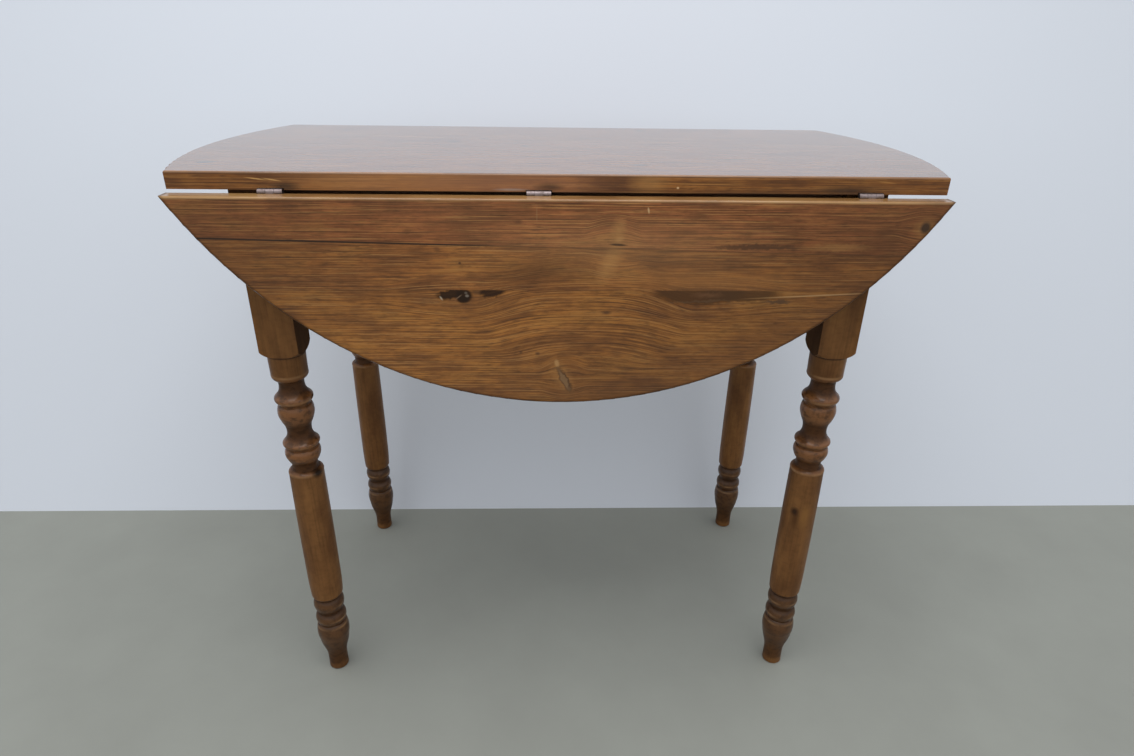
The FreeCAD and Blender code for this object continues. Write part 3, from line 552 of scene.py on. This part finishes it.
# Wide darker and paler patches, the two at the ends painted shade where the light falls off, the left
# bark pocket with painted glints, the right one, then knots, dots and scratches.
front_marks = (
    # Painted shade: the leaf darker towards both ends.
    (-0.380, 0.640, 0.170, 0.110, 0.0, "#4a2d14", 0.55, 0.9, nowhere),
    (0.380, 0.650, 0.130, 0.090, 0.0, "#4a2a0a", 0.50, 0.9, nowhere),
    (0.240, 0.550, 0.200, 0.090, 0.0, "#4a2a0a", 0.48, 0.9, nowhere),
    (0.060, 0.652, 0.100, 0.022, 0.0, "#a8835a", 0.24, 0.9, nowhere),
    (-0.105, 0.682, 0.060, 0.018, 0.0, "#a0724c", 0.10, 0.9, nowhere),
    (0.080, 0.485, 0.220, 0.038, 0.0, "#4f3119", 0.45, 0.9, nowhere),
    (0.150, 0.614, 0.070, 0.009, 0.0, "#a06c38", 0.45, 0.8, nowhere),
    (-0.030, 0.624, 0.042, 0.013, 0.05, "#472808", 0.60, 0.8, nowhere),
    (-0.100, 0.590, 0.046, 0.011, 0.0, "#55331a", 0.40, 0.6, glue_line),
    (-0.1195, 0.5985, 0.0140, 0.0050, 0.18, "#2b1c11", 0.95, 0.20, glue_line),
    (-0.1045, 0.5975, 0.0085, 0.0075, 0.0, "#281a10", 0.95, 0.20, glue_line),
    (-0.1057, 0.5928, 0.0064, 0.0040, 0.0, "#281a10", 0.90, 0.25, glue_line),
    (-0.0894, 0.6025, 0.0070, 0.0038, 0.0, "#5c3f28", 0.85, 0.30, glue_line),
    (-0.0740, 0.6024, 0.0136, 0.0062, 0.20, "#2f1d12", 0.95, 0.20, glue_line),
    # Painted glints on the bark of the left pocket.
    (-0.1100, 0.5958, 0.0036, 0.0006, 0.65, "#7a6450", 0.70, 0.40, glue_line),
    (-0.1288, 0.5943, 0.0009, 0.0024, 0.55, "#a89a86", 0.75, 0.40, glue_line),
    (-0.1013, 0.5970, 0.0018, 0.0014, 0.0, "#857a6e", 0.70, 0.40, glue_line),
    (-0.1024, 0.6002, 0.0015, 0.0013, 0.0, "#6f665c", 0.60, 0.40, glue_line),
    (0.1470, 0.6030, 0.0480, 0.0150, 0.0, "#4e341f", 0.92, 0.14, glue_line),
    (0.1920, 0.6005, 0.0400, 0.0088, 0.0, "#4c3420", 0.85, 0.20, glue_line),
    (0.2315, 0.5915, 0.0150, 0.0019, 0.0, "#47301d", 0.80, 0.40, glue_line),
    (0.1550, 0.5990, 0.0130, 0.0026, 0.0, "#6f4d34", 0.60, 0.60, glue_line),
    (0.1460, 0.5915, 0.0300, 0.0010, 0.05, "#5d4733", 0.60, 0.50, glue_line),
    (0.2700, 0.5986, 0.0540, 0.0008, 0.051, "#b08a5c", 0.70, 0.60, glue_line),
    (-0.0055, 0.5185, 0.0024, 0.0042, 0.20, "#b28a58", 0.70, 0.40, nowhere),
    (0.0000, 0.5020, 0.0085, 0.0190, 0.42, "#a87840", 0.35, 0.50, nowhere),
    (0.0030, 0.4985, 0.0048, 0.0155, 0.46, "#3b2410", 0.85, 0.20, nowhere),
    (0.0026, 0.4985, 0.0031, 0.0130, 0.46, "#7b5c3c", 0.95, 0.25, nowhere),
    (0.0570, 0.6680, 0.0055, 0.0100, -0.15, "#b5854c", 0.42, 0.80, nowhere),
    (0.0490, 0.6340, 0.0070, 0.0160, -0.45, "#b5854c", 0.42, 0.80, nowhere),
    (0.0578, 0.6588, 0.0040, 0.0022, 0.25, "#b08350", 0.45, 0.60, nowhere),
    (0.0570, 0.6530, 0.0085, 0.0012, -0.05, "#2e1b0c", 0.85, 0.35, nowhere),
    (0.3747, 0.6727, 0.0095, 0.0090, 0.0, "#9a713c", 0.35, 0.50, nowhere),
    (0.3747, 0.6727, 0.0050, 0.0058, 0.0, "#2c1a0c", 0.90, 0.35, nowhere),
    (0.2040, 0.6512, 0.0440, 0.0028, 0.0, "#452a13", 0.75, 0.30, nowhere),
    (0.2850, 0.6512, 0.0300, 0.0036, 0.0, "#916738", 0.50, 0.50, nowhere),
    (-0.1298, 0.6468, 0.0030, 0.0026, 0.0, "#5a3517", 0.60, 0.50, nowhere),
    (-0.1072, 0.6328, 0.0014, 0.0013, 0.0, "#3a1f0d", 0.80, 0.40, nowhere),
    (-0.0269, 0.5302, 0.0024, 0.0018, 0.0, "#3a2010", 0.70, 0.50, nowhere),
    (-0.0452, 0.5320, 0.0018, 0.0014, 0.0, "#3a2010", 0.60, 0.50, nowhere),
    (0.0477, 0.5785, 0.0042, 0.0020, 0.0, "#432410", 0.70, 0.50, nowhere),
    (-0.0460, 0.6760, 0.0040, 0.0022, 0.0, "#3a2010", 0.50, 0.50, nowhere),
    (0.0862, 0.6886, 0.0009, 0.0028, 0.20, "#c9a878", 0.70, 0.40, nowhere),
    (-0.0270, 0.6840, 0.0007, 0.0080, 0.0, "#8f6a45", 0.45, 0.40, nowhere),
)
front_leaf_finish = pine_boards("varnished_pine_front_leaf", "Z", "Y", leaf_colours, front_joints,
                                front_bends, front_marks, leaf_worn_and_lit_edges, leaf_shine, rim=leaf_rim)
dress(front_leaf_finish, "top_pine", "front_leaf")

rear_joints = ((glue_line, 0.0, -0.5, 0.5, 0.45), (0.6526, 0.0, -0.5, 0.5, 0.45))
rear_bends = (
    (-0.140, 0.630, 0.090, 0.040, 0.7, 0.0),
    (0.210, 0.560, 0.100, 0.040, 0.7, 0.0),
    (0.020, 0.570, 0.180, 0.080, 0.0, 0.030),
)
rear_marks = (
    (-0.140, 0.630, 0.013, 0.010, 0.0, "#6a4422", 0.70, 0.40, nowhere),
    (-0.140, 0.630, 0.008, 0.006, 0.2, "#2a190c", 0.90, 0.30, nowhere),
    (0.210, 0.560, 0.015, 0.011, 0.2, "#6a4422", 0.70, 0.40, nowhere),
    (0.210, 0.560, 0.009, 0.007, 0.2, "#2a190c", 0.90, 0.30, nowhere),
    (0.080, 0.675, 0.060, 0.012, 0.0, "#4a2d14", 0.45, 0.70, nowhere),
)
rear_leaf_finish = pine_boards("varnished_pine_rear_leaf", "Z", "Y", leaf_colours, rear_joints,
                               rear_bends, rear_marks, leaf_worn_and_lit_edges, leaf_shine, rim=leaf_rim)
dress(rear_leaf_finish, "top_pine", "rear_leaf")

# Leaf brackets: pine arms on steel pins, in steel hangers screwed to the long rails.
# They swing up under the raised leaves and hang out of sight behind the lowered ones.
arm_fibre_mm = (2.5, 2.5, 60.0)
arm_finish = bare_pine("bare_pine_arm", arm_fibre_mm)
bracket_finish = dull_steel("dull_bracket_steel", "#7f7b76", "#54412f")
for side in ("front", "rear"):
    for end in ("left", "right"):
        bracket = side + "_" + end + "_bracket_"
        dress(arm_finish, "inner_pine", bracket + "arm")
        dress(bracket_finish, "bracket_steel", bracket + "hanger", bracket + "pin")
dress(screw_finish, "screw_steel", "bracket_hanger_screws")

# Stage: a plain pale floor, and a white board that leans back, so that the raised rear leaf clears
# it, under a wide lamp in a pale room. Floor and board show from their front only, so that they hide
# nothing in a view from behind or from below.
floor_reach = 30
floor_mottle_mm = 240.0
board_reach, board_height = 6, 4
board_foot_y, board_lean = 0.215, 0.36
board_top_y = board_foot_y + board_height * board_lean
lamp_place = (-0.1, -0.6, 2.3)
lamp_width, lamp_depth, lamp_power = 1.8, 1.4, 20.0


def flat_sheet(name, corners, finish, tree, front):
    """A flat sheet with a shader on its front, and nothing to see from behind."""
    from_behind = add(tree, "NewGeometry").outputs["Backfacing"]
    see_through = add(tree, "BsdfTransparent")
    add(tree, "OutputMaterial", add(tree, "MixShader", from_behind, front, see_through))
    mesh = bpy.data.meshes.new(name)
    mesh.from_pydata(corners, [], [(0, 1, 2, 3)])
    mesh.materials.append(finish)
    sheet = bpy.data.objects.new(name, mesh)
    bpy.context.scene.collection.objects.link(sheet)


# Trowelled cement: a matt grey with faint wide clouds.
floor_finish, tree, places = new_finish("pale_cement_floor")
mottle = add(tree, "TexNoise", places, Scale=1000 / floor_mottle_mm, Detail=5.0, Roughness=0.6)
floor_colour = add(tree, "MixRGB", mottle, linear("#848680"), linear("#979a93"))
cement = add(tree, "BsdfPrincipled", Base_Color=floor_colour, Roughness=0.8)
floor_corners = [(-floor_reach, -floor_reach, 0), (floor_reach, -floor_reach, 0),
                 (floor_reach, floor_reach, 0), (-floor_reach, floor_reach, 0)]
flat_sheet("floor", floor_corners, floor_finish, tree, cement)

# White wall paint: matt, and a little blue.
wall_finish, tree = new_finish("white_wall_paint")[:2]
painted = add(tree, "BsdfDiffuse", linear("#d2d8e2"))
wall_corners = [(-board_reach, board_foot_y, 0), (board_reach, board_foot_y, 0),
                (board_reach, board_top_y, board_height), (-board_reach, board_top_y, board_height)]
flat_sheet("wall", wall_corners, wall_finish, tree, painted)

ceiling_lamp = bpy.data.objects.new("ceiling_lamp", bpy.data.lights.new("ceiling_lamp", "AREA"))
ceiling_lamp.data.shape = "RECTANGLE"
ceiling_lamp.data.size = lamp_width
ceiling_lamp.data.size_y = lamp_depth
ceiling_lamp.data.energy = lamp_power
ceiling_lamp.location = lamp_place
bpy.context.scene.collection.objects.link(ceiling_lamp)

world = bpy.data.worlds.new("pale_room")
bpy.context.scene.world = world
world.use_nodes = True
world.node_tree.nodes.clear()
room = add(world.node_tree, "Background", linear("#fafafa"), 1.0)
add(world.node_tree, "OutputWorld", room)

bpy.context.scene.view_settings.view_transform = "Standard"
